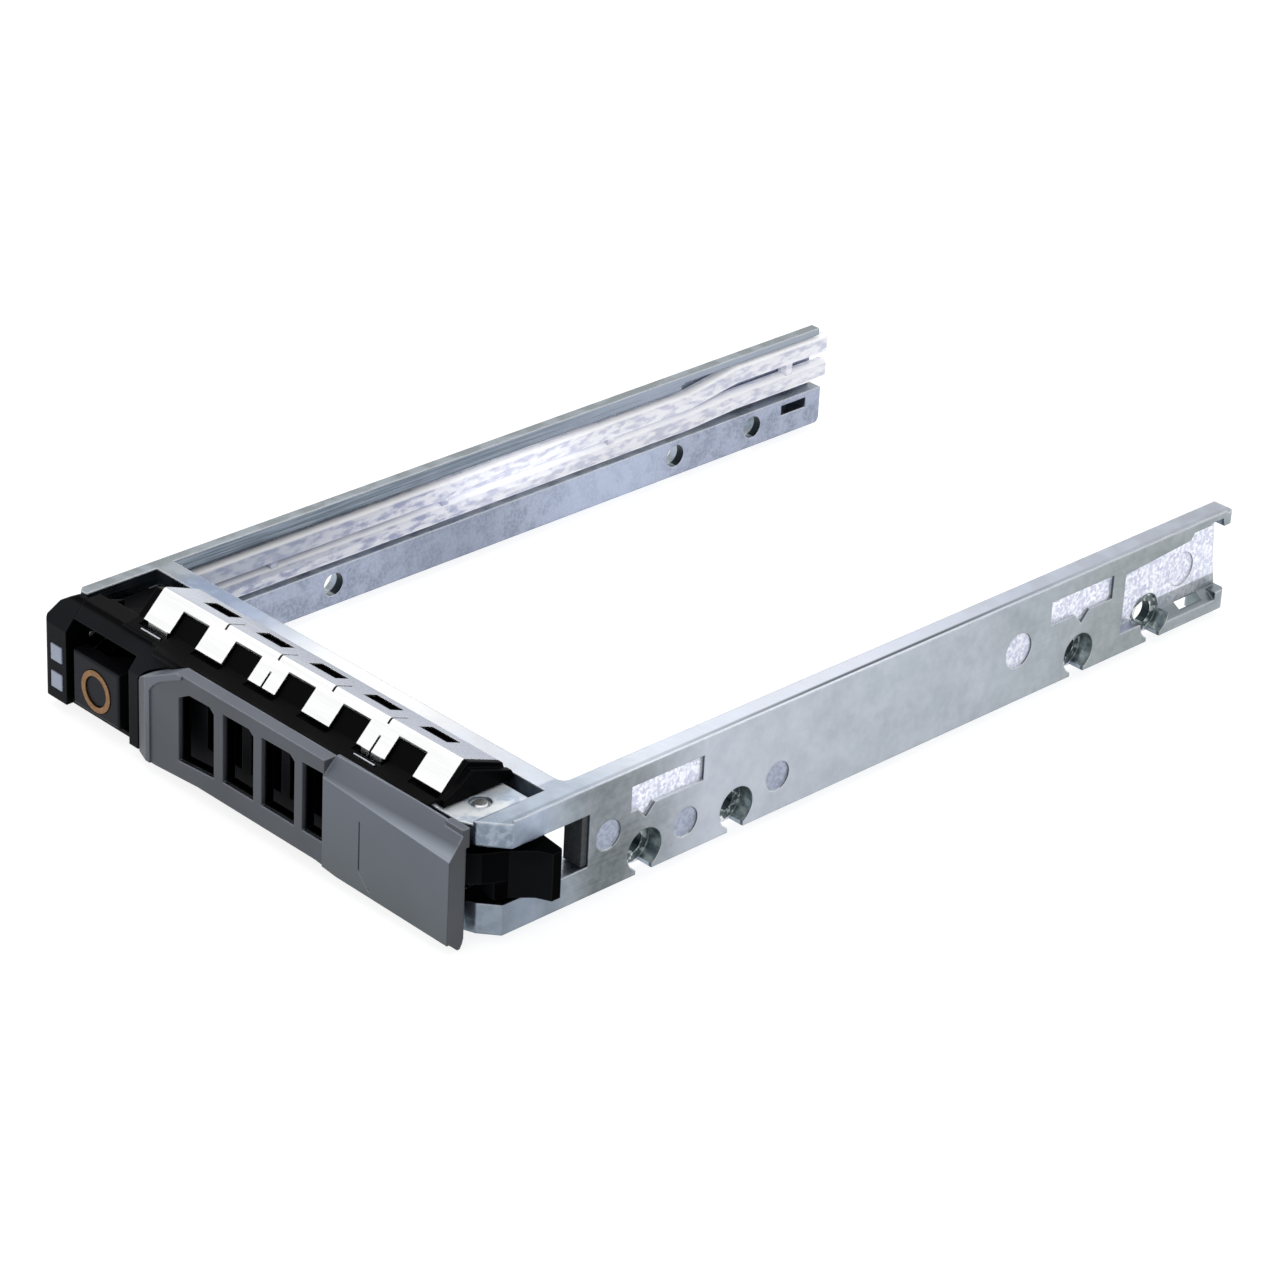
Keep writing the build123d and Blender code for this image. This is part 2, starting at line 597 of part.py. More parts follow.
with BuildPart() as handle_cover:
    face_outline = [(cover_left + x, z) for x, z in cover_corner]
    face_outline += [
        (cover_right, cover_top),
        (cover_right, cover_low),
        (cover_step + 2.5, cover_low + 0.15),
        (cover_step - 1.5, cover_arch),
        (cover_left + 12.0, cover_arch),
        (cover_left + 4.0, cover_low),
        (cover_left, cover_low),
    ]
    front_prism(face_outline, (cover_front, cover_back))
    # The left end leans back, and the upper rear edge of the grille part makes room for the moulding.
    left_cut = [
        (cover_left - 0.1, cover_front - 0.1),
        (cover_left + cover_rim - 0.8, cover_front - 0.1),
        (cover_left + cover_rim - 0.8, cover_front),
        (cover_left - 0.1, cover_front + 0.9),
    ]
    plan_prism(left_cut, (0, 15), Mode.SUBTRACT)
    block((cover_left - 1, cover_step), (cover_grille_back, cover_back + 1), (12.6, 15), Mode.SUBTRACT)
    # The facet on the right part grows towards the pivot end.
    with BuildSketch(Plane.YZ.offset(cover_step)) as facet_left:
        with BuildLine():
            Polyline(*facet_outline(facet_low_left, cover_back - 0.4), close=True)
        make_face()
    with BuildSketch(Plane.YZ.offset(cover_right + 0.1)) as facet_right:
        with BuildLine():
            Polyline(*facet_outline(facet_low_right, cover_back + 0.1), close=True)
        make_face()
    loft([facet_left.sketch.face(), facet_right.sketch.face()], mode=Mode.SUBTRACT)
    # The field of the grille part is a little lower than its rim and the plain part.
    field = [
        (cover_left + cover_rim, -1),
        (cover_left + cover_rim, 10.2),
        (cover_left + cover_rim + 0.8, 11.2),
        (cover_left + cover_rim + 2.1, 12.2),
        (cover_left + cover_rim + 6.1, 14.1),
        (cover_left + cover_rim + 6.1, 15),
        (cover_step, 15),
        (cover_step, -1),
    ]
    front_prism(field, (cover_front - 1, cover_front + field_depth), Mode.SUBTRACT)
    # The inside is hollow for the arm.
    hollow = [
        (cover_left + cover_skin, cover_low + 1.3),
        (cover_left + cover_skin, 9.6),
        (cover_left + 8.0, arm_high + 0.4),
        (cover_step, arm_high + 0.4),
        (cover_step + 2.0, 12.2),
        (cover_right - cover_skin, 10.9),
        (cover_right - cover_skin, cover_low + 1.3),
    ]
    front_prism(hollow, (arm_front - 0.1, 2), Mode.SUBTRACT)
    for vent in vents:
        front_prism(vent_outline(vent), (cover_front - 1, 0), Mode.SUBTRACT)
    # The lower right end turns back under the hinge, and the upper one reaches further back.
    foot = [(cover_front, 0.5), (-1.9, -0.95), (-1.5, -0.95), (-1.15, -0.3), (cover_back, 0.5)]
    side_prism(foot, (cover_right - 1.6, cover_right))
    block((cover_right - 3.0, cover_right), (cover_back - 0.5, cover_back + 0.5), (12.1, cover_top))
    # A fine groove marks the hidden clip.
    groove = [
        (clip_x - 0.1, 9.5),
        (clip_x - 0.1, 3.0),
        (clip_x + 1.75, 1.0),
        (clip_x + 1.95, 1.1),
        (clip_x + 0.1, 3.05),
        (clip_x + 0.1, 9.5),
    ]
    front_prism(groove, (cover_front - 1, cover_front + 0.15), Mode.SUBTRACT)
handle_cover.part.label = "handle_cover"
export_step(to_origin * handle_cover.part, "parts/handle_cover.step")


# The handle's arm: plate behind the cover, nose for the catch, eye on the pin and hook for the bay.
nose_x = (cover_left + 0.4, cover_left + 2.6)
nose_y = (8.4, 9.8)

with BuildPart() as handle_arm:
    plate = [
        (cover_left + 1.5, arm_low),
        (cover_left + 1.5, 9.4),
        (cover_left + 7.9, arm_high),
        (cover_step, arm_high),
        (cover_step + 1.7, 11.8),
        (cover_right - 1.5, 10.6),
        (cover_right - 1.5, arm_low),
    ]
    front_prism(plate, (arm_front, cover_grille_back))
    for vent in vents:
        front_prism(vent_outline(vent), (arm_front - 1, cover_back + 1), Mode.SUBTRACT)
    hinge_side = (cover_step + 4, cover_right - 1.5)
    block(hinge_side, (cover_grille_back - 0.1, cover_back), (arm_low, hub_high - 0.1))
    block((cover_left + 1.6, nose_x[1]), (cover_grille_back - 0.1, cover_back), (arm_low, 8.0))
    block((cover_left + 1.6, nose_x[1]), (cover_back - 0.1, nose_y[1]), (3.6, 6.4))
    block(nose_x, nose_y, (3.6, 6.4))
    # The hub and the hook lie between the ears of the tray.
    hook = [
        (pivot[0] + 6.2, 4.2),
        (hook_right - 1.8, hook_front - 0.9),
        (hook_right, hook_front),
        (hook_right, hook_back - 0.4),
        (hook_right - 0.5, hook_back),
        (pivot[0] + 6.2, hook_back + 0.4),
        (pivot[0] + 2.8, hook_back + 0.2),
    ]
    eye = [
        (pivot[0] + 1.0, 8.1),
        (pivot[0] - 1.8, 7.6),
        (pivot[0] - 2.8, 5.3),
        (pivot[0] - 1.9, cover_back - 0.1),
        (pivot[0] + 2.7, cover_back - 0.1),
        (pivot[0] + 4.8, 1.4),
    ]
    plan_prism(hook + eye, (hub_eye_low, hub_high))
    # Beside the spring's coil the hook is deeper.
    deep = [(pivot[0] + 2.4, 3.0), (pivot[0] + 5.6, 2.6)]
    plan_prism(hook + deep, (hub_low, hub_eye_low + 0.1))
    round_z(*pivot, pin_radius + running_play, (0, 15), Mode.SUBTRACT)
handle_arm.part.label = "handle_arm"
export_step(to_origin * handle_arm.part, "parts/handle_arm.step")


# The pivot pin.
with BuildPart() as pivot_pin:
    round_z(*pivot, pin_radius, (0.4, ear_plate_top - 0.1))
    chamfer(pivot_pin.edges().filter_by(GeomType.CIRCLE), length=0.2)
pivot_pin.part.label = "pivot_pin"
export_step(to_origin * pivot_pin.part, "parts/pivot_pin.step")


# The spring that throws the handle open: a coil around the pin with two legs.
wire_radius = 0.18
coil_radius = 1.75
coil_low = 4.45
coil_turns = 2.5
wire_sides = 6
coil_pitch = 2 * wire_radius + 0.04
leg_front = -0.65

with BuildPart() as handle_spring:
    with BuildLine() as coil_path:
        coil_start = (*pivot, coil_low + wire_radius)
        coil = Helix(pitch=coil_pitch, height=coil_pitch * coil_turns, radius=coil_radius, center=coil_start)
        leg_length = pivot[1] - leg_front
        front_leg = Line((coil @ 0) - (coil % 0) * leg_length, coil @ 0)
        Line(coil @ 1, (coil @ 1) + (coil % 1) * leg_length)
    with BuildSketch(Plane(front_leg @ 0, z_dir=front_leg % 0)) as wire:
        RegularPolygon(wire_radius, wire_sides)
    sweep(wire.sketch, path=coil_path.line)
handle_spring.part.label = "handle_spring"
export_step(to_origin * handle_spring.part, "parts/handle_spring.step")


# The release button: a square cap on a stem whose end is cut to a ramp.
ramp_slope = catch_travel / button_travel
ramp_start = recess_x[0] + 3.7
button_back = catch_front - button_travel - part_gap
stem_end = catch_y[0] - button_travel - 0.4


def ramp_x(y, shift=0.0):
    """Give the x of the ramp between the stem and the catch at one y."""
    return ramp_start + ramp_slope * (y - 2.0) + shift


with BuildPart() as release_button:
    block(button_x, (button_front, button_back), button_z)
    face_edges = release_button.faces().sort_by(Axis.Y)[0].edges()
    fillet(face_edges, radius=0.35)
    stem_left = ramp_x(1.375)
    stem_right = stem_left + 5.0
    stem = [
        (stem_left, button_back - 0.1),
        (stem_right, button_back - 0.1),
        (stem_right, stem_end),
        (ramp_x(stem_end), stem_end),
        (stem_left, 1.375),
    ]
    plan_prism(stem, (3.0, 7.0))
    round_y(*ring_center, ring_radius + 0.08, (button_front - 1, button_front + 0.35), Mode.SUBTRACT)
    round_y(*ring_center, ring_radius - 0.85, (button_front + 0.1, button_front + 0.5))
release_button.part.label = "release_button"
export_step(to_origin * release_button.part, "parts/release_button.step")

with BuildPart() as button_ring:
    round_y(*ring_center, ring_radius, (button_front - 0.12, button_front + 0.33))
    round_y(*ring_center, ring_radius - 0.75, (button_front - 1, button_front + 1), Mode.SUBTRACT)
button_ring.part.label = "button_ring"
export_step(to_origin * button_ring.part, "parts/button_ring.step")


# The catch: the stem's ramp draws it to the left, which frees the nose of the handle.
spring_seat_x = recess_x[0] + 5.6
with BuildPart() as handle_catch:
    lug = [
        (catch_left, catch_front),
        (ramp_x(catch_front, -0.39), catch_front),
        (ramp_x(catch_y[0], -0.39), catch_y[0]),
        (catch_right, catch_y[0]),
        (catch_right, catch_y[1]),
        (catch_left, catch_y[1]),
    ]
    plan_prism(lug, catch_z)
    round_x(sum(catch_y) / 2, sum(catch_z) / 2, 1.1, (catch_left - 1, spring_seat_x), Mode.SUBTRACT)
handle_catch.part.label = "handle_catch"
export_step(to_origin * handle_catch.part, "parts/handle_catch.step")

with BuildPart() as catch_spring:
    spring_turns = 5
    spring_length = spring_seat_x - 0.35 - (recess_x[0] + 0.35)
    spring_start = (recess_x[0] + 0.35, sum(catch_y) / 2, sum(catch_z) / 2)
    spring_pitch = spring_length / spring_turns
    with BuildLine() as spring_path:
        Helix(pitch=spring_pitch, height=spring_length, radius=0.75, center=spring_start, direction=(1, 0, 0))
    with BuildSketch(Plane(spring_path.line @ 0, z_dir=spring_path.line % 0)) as spring_wire:
        RegularPolygon(0.15, wire_sides)
    sweep(spring_wire.sketch, path=spring_path.line, is_frenet=True)
catch_spring.part.label = "catch_spring"
export_step(to_origin * catch_spring.part, "parts/catch_spring.step")


# A dark pad lines the rear wall of the hook opening.
with BuildPart() as opening_pad:
    block((bay_half + 0.25, outer - 0.3), (hook_opening_back - 0.9, hook_opening_back), (4.15, 10.85))
opening_pad.part.label = "opening_pad"
export_step(to_origin * opening_pad.part, "parts/opening_pad.step")


# Two screws hold the moulding to the bar from the drive's side.
for number, screw_x in enumerate(screw_bar_x, start=1):
    with BuildPart() as bezel_screw:
        round_y(screw_x, screw_bar_z, screw_shank, (bar_front - screw_grip, bar_back - 1.2))
        round_y(screw_x, screw_bar_z, screw_head, (bar_back - 1.3, bar_back - 0.2))
        for angle in (0, 90):
            with BuildSketch(Plane.XZ.offset(-(bar_back - 0.8))) as drive_slot:
                with Locations((screw_x, screw_bar_z)):
                    Rectangle(2.2, 0.45, rotation=angle)
            extrude(drive_slot.sketch, amount=1, dir=(0, 1, 0), mode=Mode.SUBTRACT)
    bezel_screw.part.label = f"bezel_screw_{number}"
    export_step(to_origin * bezel_screw.part, f"parts/bezel_screw_{number}.step")
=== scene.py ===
# %% [markdown]
# # A hot swap drive caddy, dressed for the studio
#
# The tray, its moulded front and its handle come from the CAD model as named nodes.
# This lesson gives each one the finish of the real thing: die-cast zinc, moulded plastics,
# rolled spring steel and clear acrylic. Everything is in metres, in the CAD model's own frame.

import bpy
import numpy as np
from mathutils import Matrix, Vector


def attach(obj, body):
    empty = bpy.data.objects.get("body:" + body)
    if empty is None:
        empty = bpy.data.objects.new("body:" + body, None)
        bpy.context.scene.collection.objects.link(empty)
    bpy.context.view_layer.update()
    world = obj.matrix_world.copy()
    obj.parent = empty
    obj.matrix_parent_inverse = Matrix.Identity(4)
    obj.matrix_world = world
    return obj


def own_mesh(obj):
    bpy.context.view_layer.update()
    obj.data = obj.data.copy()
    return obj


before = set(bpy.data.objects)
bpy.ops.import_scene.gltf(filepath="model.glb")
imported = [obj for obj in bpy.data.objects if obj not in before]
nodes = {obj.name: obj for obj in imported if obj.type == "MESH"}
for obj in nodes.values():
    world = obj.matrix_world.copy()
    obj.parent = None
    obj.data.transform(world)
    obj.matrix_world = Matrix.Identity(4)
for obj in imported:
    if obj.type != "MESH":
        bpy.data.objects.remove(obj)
scene = bpy.context.scene
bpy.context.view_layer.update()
print("nodes:", sorted(nodes))


# %% [markdown]
# ## Units and colours
#
# The CAD was drawn in millimetres, so sizes are written here in millimetres too and turned to
# metres once. Colours are written as sRGB hex values, the way that a paint program shows them,
# and one function turns them to the linear values that a shader works with.

# %% Millimetres and hex colours
MM = 0.001


def linear(hex_colour):
    """sRGB hex to linear RGBA: c/12.92 below 0.04045, else ((c + 0.055)/1.055)^2.4."""
    c = np.array([int(hex_colour[i : i + 2], 16) for i in (0, 2, 4)]) / 255
    rgb = np.where(c <= 0.04045, c / 12.92, ((c + 0.055) / 1.055) ** 2.4)
    return (*rgb.tolist(), 1.0)


print("mid grey is", [round(v, 3) for v in linear("808080")])


# %% [markdown]
# ## One helper for shader nodes
#
# Each finish below is a small graph of shader nodes. One function adds a node, sets its fields
# and fills its inputs: a socket is linked, and anything else becomes the input's value. All the
# other helpers are made with it.

# %% A node with its settings and links


def add(tree, kind, inputs=None, **settings):
    """Add one shader node, set its fields, then link or fill its inputs."""
    node = tree.nodes.new(kind)
    for name, value in settings.items():
        setattr(node, name, value)
    for key, value in (inputs or {}).items():
        if isinstance(value, bpy.types.NodeSocket):
            tree.links.new(value, node.inputs[key])
        else:
            node.inputs[key].default_value = value
    return node


def finish_named(name):
    """Start an empty material: its tree, its Principled shader and the object's own coordinates."""
    material = bpy.data.materials.new(name)
    material.use_nodes = True
    tree = material.node_tree
    tree.nodes.clear()
    shader = add(tree, "ShaderNodeBsdfPrincipled")
    add(tree, "ShaderNodeOutputMaterial", {"Surface": shader.outputs["BSDF"]})
    place = add(tree, "ShaderNodeTexCoord").outputs["Object"]
    return material, tree, shader, place


def wear(material, *names):
    """Give these CAD nodes one material."""
    for name in names:
        nodes[name].data.materials.clear()
        nodes[name].data.materials.append(material)
    print(material.name, "on", ", ".join(names))


# %% [markdown]
# ### Numbers: sums, parts of a vector and smooth steps
#
# A mask is a number from 0 to 1 that says where a finish goes. A smooth step over a position or a
# direction makes one, and a product keeps only the place where several masks agree.

# %% Sums and steps


def compute(tree, operation, a, b=0.0, clamp=False):
    """One sum on two values."""
    return add(
        tree, "ShaderNodeMath", {0: a, 1: b}, operation=operation, use_clamp=clamp
    ).outputs["Value"]


def times(tree, product, *others):
    """Product of two or more values."""
    for value in others:
        product = compute(tree, "MULTIPLY", product, value)
    return product


def xyz_of(tree, vector):
    """The X, Y and Z of a vector, as three sockets."""
    return tuple(add(tree, "ShaderNodeSeparateXYZ", {"Vector": vector}).outputs)


def spread(tree, value, low, high, out_low=0.0, out_high=1.0):
    """Map a value from low..high to out_low..out_high with a smooth step between them."""
    return add(
        tree,
        "ShaderNodeMapRange",
        {
            "Value": value,
            "From Min": low,
            "From Max": high,
            "To Min": out_low,
            "To Max": out_high,
        },
        interpolation_type="SMOOTHSTEP",
    ).outputs["Result"]


def spread_mm(tree, value, low_mm, high_mm, out_low=0.0, out_high=1.0):
    """The same smooth step over a position, with its limits in millimetres."""
    return spread(tree, value, low_mm * MM, high_mm * MM, out_low, out_high)


print("1 mm is", MM, "m")


# %% [markdown]
# ### Colours: mixes, layers and ramps
#
# A finish is built like paint: a base colour, and then layers over it, each with a mask. Where a
# tone changes slowly along the tray, a ramp writes its colours down with their positions.

# %% Mixes, layers and ramps


def between(tree, factor, first, second, blend="MIX"):
    """Mix two colours by a factor. A colour is a socket or an sRGB hex text."""
    mix = add(tree, "ShaderNodeMix", data_type="RGBA", blend_type=blend)
    for key, value in ((0, factor), (6, first), (7, second)):
        if isinstance(value, bpy.types.NodeSocket):
            tree.links.new(value, mix.inputs[key])
        else:
            mix.inputs[key].default_value = linear(value) if isinstance(value, str) else value
    return mix.outputs[2]


def layered(tree, base, *layers):
    """Lay (mask, colour) pairs over a base colour, the last one on top."""
    for mask, colour in layers:
        base = between(tree, mask, base, colour)
    return base


def ramp_mm(tree, value, stops):
    """Colour ramp over a position: stops are (millimetres, hex), in rising order."""
    first, last = stops[0][0], stops[-1][0]
    part = add(
        tree, "ShaderNodeMapRange", {"Value": value, "From Min": first * MM, "From Max": last * MM}
    ).outputs["Result"]
    node = add(tree, "ShaderNodeValToRGB", {"Fac": part})
    elements = node.color_ramp.elements
    for index, (position, colour) in enumerate(stops):
        spot_in_ramp = (position - first) / (last - first)
        element = elements[index] if index < 2 else elements.new(spot_in_ramp)
        element.position = spot_in_ramp
        element.color = linear(colour)
    return node.outputs["Color"]


print("black and white in linear light:", linear("000000")[:3], linear("FFFFFF")[:3])


# %% [markdown]
# ### Surface: grain, rounded edges and relief
#
# Noise gives every surface its grain, at the size in millimetres that it has on the real part. The
# CAD's edges are sharp, and a bevel in the shading rounds them off without a change to the mesh.

# %% Grain, edges and relief


def grain(tree, place, size_mm, detail=2.0, stretch=(1, 1, 1), shift=(0, 0, 0)):
    """Noise whose blotches are about size_mm across, drawn out along an axis by stretch."""
    scale = tuple(1.0 / (size_mm * MM * s) for s in stretch)
    mapped = add(
        tree,
        "ShaderNodeMapping",
        {"Vector": place, "Location": shift, "Scale": scale},
    )
    return add(
        tree,
        "ShaderNodeTexNoise",
        {"Vector": mapped.outputs["Vector"], "Scale": 1.0, "Detail": detail},
    ).outputs["Fac"]


def soft_edges(tree, radius_mm):
    """Normals that round each sharp edge off over radius_mm, as a mould or a tumbler leaves it."""
    return add(
        tree, "ShaderNodeBevel", {"Radius": radius_mm * MM}, samples=4
    ).outputs["Normal"]


def agreement(tree, one, other):
    """Dot product: 1 where two directions are the same, less where they part."""
    return add(
        tree, "ShaderNodeVectorMath", {0: one, 1: other}, operation="DOT_PRODUCT"
    ).outputs["Value"]


def flat_normal(tree):
    """The direction in which the real face looks, with no rounding."""
    return add(tree, "ShaderNodeNewGeometry").outputs["True Normal"]


def relief(tree, height, depth_mm, normal):
    """Bump from a 0..1 height that stands for depth_mm of real relief."""
    return add(
        tree,
        "ShaderNodeBump",
        {"Height": height, "Distance": depth_mm * MM, "Strength": 1.0, "Normal": normal},
    ).outputs["Normal"]


print("a 9 mm pattern has the scale", round(1 / (9.0 * MM), 1), "per metre")


# %% [markdown]
# ## The camera
#
# The photograph was taken with a long lens from the front right, a little under 28 degrees above the
# table and rolled by 3 degrees. The angles, the distance and the focal length were solved from the
# drive's standard screw holes, so that the model lies over its picture in the photograph.

# %% Camera from solved angles
azimuth, elevation, roll = np.radians([44.78, 27.93, 2.99])
aim = np.array([0.0, 51.4, 8.0]) * MM
slide_x, slide_y, distance = 2.90 * MM, 5.81 * MM, 548.7 * MM
focal_in_pixels, picture_side = 4325.0, 1277

back = np.array(
    [
        np.sin(azimuth) * np.cos(elevation),
        -np.cos(azimuth) * np.cos(elevation),
        np.sin(elevation),
    ]
)
right = np.array([np.cos(azimuth), np.sin(azimuth), 0.0])
up = np.cross(back, right)
turn = np.array(
    [[np.cos(roll), np.sin(roll), 0], [-np.sin(roll), np.cos(roll), 0], [0, 0, 1]]
)
axes = turn @ np.array([right, up, back])
spot = aim - axes.T @ np.array([slide_x, slide_y, -distance])

camera_data = bpy.data.cameras.new("studio_camera")
camera = bpy.data.objects.new("studio_camera", camera_data)
scene.collection.objects.link(camera)
world_matrix = np.eye(4)
world_matrix[:3, :3] = axes.T
world_matrix[:3, 3] = spot
camera.matrix_world = Matrix(world_matrix.tolist())
camera_data.sensor_width = 36.0
camera_data.lens = focal_in_pixels / picture_side * camera_data.sensor_width
camera_data.clip_start, camera_data.clip_end = 0.01, 20.0
scene.camera = camera
print("camera at", spot.round(4), "lens", round(camera_data.lens, 1))


# %% [markdown]
# ## Studio: a light table
#
# A caddy for a catalogue can be shot on a white light table: a sheet of opal acrylic that is lit from
# below, so that hardly any shadow stays on it. The sheet lies 1.2 mm under the cross bar, just below
# the lowest point of the handle.

# %% Light table
reach = 3.0
below = -1.2 * MM
floor_mesh = bpy.data.meshes.new("studio_floor")
corners = np.array([[-1, -1], [1, -1], [1, 1], [-1, 1]]) * reach
floor_mesh.from_pydata(
    np.column_stack([corners, np.full(4, below)]).tolist(), [], [(0, 1, 2, 3)]
)
floor = bpy.data.objects.new("studio_floor", floor_mesh)
scene.collection.objects.link(floor)

opal, tree, shader, _ = finish_named("opal_acrylic_lit_from_below")
shader.inputs["Base Color"].default_value = linear("A0A0A0")
shader.inputs["Roughness"].default_value = 0.9
shader.inputs["Specular IOR Level"].default_value = 0.1
shader.inputs["Emission Color"].default_value = linear("FFFFFF")
shader.inputs["Emission Strength"].default_value = 0.82
floor_mesh.materials.append(opal)
print("floor is", 2 * reach, "m wide")

# %% [markdown]
# ### World
#
# The world is white to the camera, in reflections and through clear plastic, so the room reads as
# white paper all round. As the light that falls on the object it is a little weaker, which keeps the
# pale metal from burning out.

# %% World
world = bpy.data.worlds.new("studio_white")
scene.world = world
world.use_nodes = True
tree = world.node_tree
tree.nodes.clear()
seen = add(tree, "ShaderNodeLightPath").outputs
direct = compute(tree, "MAXIMUM", seen["Is Camera Ray"], seen["Is Glossy Ray"])
direct = compute(tree, "MAXIMUM", direct, seen["Is Transmission Ray"])
soft_light = 0.62
strength = add(
    tree,
    "ShaderNodeMapRange",
    {"Value": direct, "To Min": soft_light, "To Max": 1.0},
).outputs["Result"]
sky = add(tree, "ShaderNodeBackground", {"Color": (1, 1, 1, 1), "Strength": strength})
add(tree, "ShaderNodeOutputWorld", {"Surface": sky.outputs["Background"]})
print("world strength for soft light:", soft_light)

# %% [markdown]
# ### Lamps
#
# Two square soft boxes give the faces their difference in tone: a wide one overhead for the tops, and
# a weaker one in front for the black moulding and the handle.

# %% Lamps


def lamp(name, position, target, width, watts):
    """A square soft lamp at position that faces target."""
    data = bpy.data.lights.new(name, "AREA")
    data.size, data.energy = width, watts
    light = bpy.data.objects.new(name, data)
    scene.collection.objects.link(light)
    light.location = position
    light.rotation_mode = "QUATERNION"
    light.rotation_quaternion = (Vector(target) - Vector(position)).to_track_quat("-Z", "Y")


lamp("overhead", (-0.25, 0.15, 1.0), (0, 0.05, 0), 0.8, 3.4)
lamp("front_fill", (0.1, -1.0, 0.55), (0, 0.0, 0), 0.6, 1.6)


# %% [markdown]
# ## Die-cast zinc: where each face lies
#
# The tray is taken as a pressure die casting in a zinc alloy. Its faces differ in the photograph: the
# outer side looks linished on a belt, the tops mirror the room, the sunk fields keep a bright mottled
# skin, and the left rail is cloudy. A mask for each kind of face comes from its position and from the
# direction in which it looks, so the mesh itself stays as the CAD made it.

# %% Masks from position and direction
OUTER_FACE = 38.5  # mm from the middle to the outer face of a rail
BAY_FACE = 35.05  # mm from the middle to the face towards the drive

cast, tree, shader, place = finish_named("zinc_die_cast_linished")
across, along, height = xyz_of(tree, place)
face_normal = flat_normal(tree)
face_x, face_y, face_z = xyz_of(tree, face_normal)

tops = spread(tree, face_z, 0.5, 0.8)
fronts = spread(tree, face_y, -0.3, -0.6)
outward = spread_mm(tree, across, OUTER_FACE - 0.16, OUTER_FACE - 0.08)
left_side = spread_mm(tree, across, -33.4, -33.8)
sunk = times(
    tree,
    spread_mm(tree, across, BAY_FACE - 0.65, BAY_FACE - 0.45),
    spread(tree, face_x, 0.6, 0.9),
)
shallow = spread_mm(tree, across, OUTER_FACE - 0.32, OUTER_FACE - 0.24)
print("the outward skin starts", round(OUTER_FACE - 0.16, 2), "mm from the middle")

# %% [markdown]
# ### Screw recesses
#
# The screw recesses could be formed by cores in the side of the die. They are painted dark as painted
# shade, with one painted glint each. They are found by their distance from the four screw positions,
# which lie 11.7 mm to 103.4 mm behind the cross bar's front.

# %% Masks round the screws
SCREW_ROWS = (11.7, 26.77, 88.3, 103.37)
SCREW_HEIGHT = 3.0
side_view = add(
    tree, "ShaderNodeVectorMath", {0: place, 1: (0, 1, 1)}, operation="MULTIPLY"
).outputs["Vector"]


def near_screws(radius_mm):
    """1 within radius_mm of a screw axis, seen along X, else 0."""
    found = None
    for row in SCREW_ROWS:
        away = add(
            tree,
            "ShaderNodeVectorMath",
            {0: side_view, 1: (0, row * MM, SCREW_HEIGHT * MM)},
            operation="DISTANCE",
        ).outputs["Value"]
        one = spread_mm(tree, away, radius_mm + 0.05, radius_mm - 0.05)
        found = one if found is None else compute(tree, "MAXIMUM", found, one)
    return found


below_face = spread_mm(tree, across, OUTER_FACE - 0.05, OUTER_FACE - 0.2)
beyond_bay = spread_mm(tree, across, BAY_FACE + 0.15, BAY_FACE + 0.35)
in_wall = times(tree, below_face, beyond_bay)
recess = times(tree, near_screws(2.8), in_wall)
bore = times(tree, near_screws(1.68), spread(tree, face_y, -0.1, -0.3))
print("screw rows at", SCREW_ROWS)

# %% [markdown]
# ### Patterns of the casting
#
# Six noises stand for what is on the metal: flow clouds 9 mm across, patches of 3 mm, mottling of
# 1 mm, a frost and pits of about 0.5 mm, and belt lines 0.3 mm wide that run along the rail.

# %% Clouds, patches, frost and lines
clouds = grain(tree, place, 9.0, detail=6.0, stretch=(1, 1.6, 1))
patches = grain(tree, place, 3.2, detail=5.0, shift=(3, 1, 7))
mottle = grain(tree, place, 1.1, detail=4.0, shift=(5, 2, 3))
frost = grain(tree, place, 0.5, detail=4.0, shift=(2, 8, 4))
lines = grain(tree, place, 0.3, detail=2.0, stretch=(1, 40, 1))
pits = grain(tree, place, 0.55, detail=3.0)
cloud_step = spread(tree, clouds, 0.38, 0.62)
patch_step = spread(tree, patches, 0.42, 0.6)
mottle_step = spread(tree, mottle, 0.4, 0.6)
frost_step = spread(tree, frost, 0.4, 0.6)
print("patterns of 9, 3.2, 1.1, 0.55, 0.5 and 0.3 mm")

# %% [markdown]
# ### Edges and hollows of the casting
#
# A painted highlight lies along the edges, where the rounded normal turns away from the flat one, and
# only on edges that look up to the light. A painted shade lies in the hollows: the metal within 3 mm
# of an inner corner is darker.

# %% Edges and hollows
rounded = soft_edges(tree, 0.35)
edge_highlight = times(
    tree,
    spread(tree, agreement(tree, rounded, face_normal), 0.985, 0.86),
    spread(tree, xyz_of(tree, rounded)[2], 0.05, 0.35),
)
openness = add(
    tree, "ShaderNodeAmbientOcclusion", {"Distance": 3.0 * MM}, samples=4, only_local=True
).outputs["AO"]
in_hollow = spread(tree, openness, 0.72, 0.25)
print("edges shine over 0.35 mm, hollows darken over 3 mm")
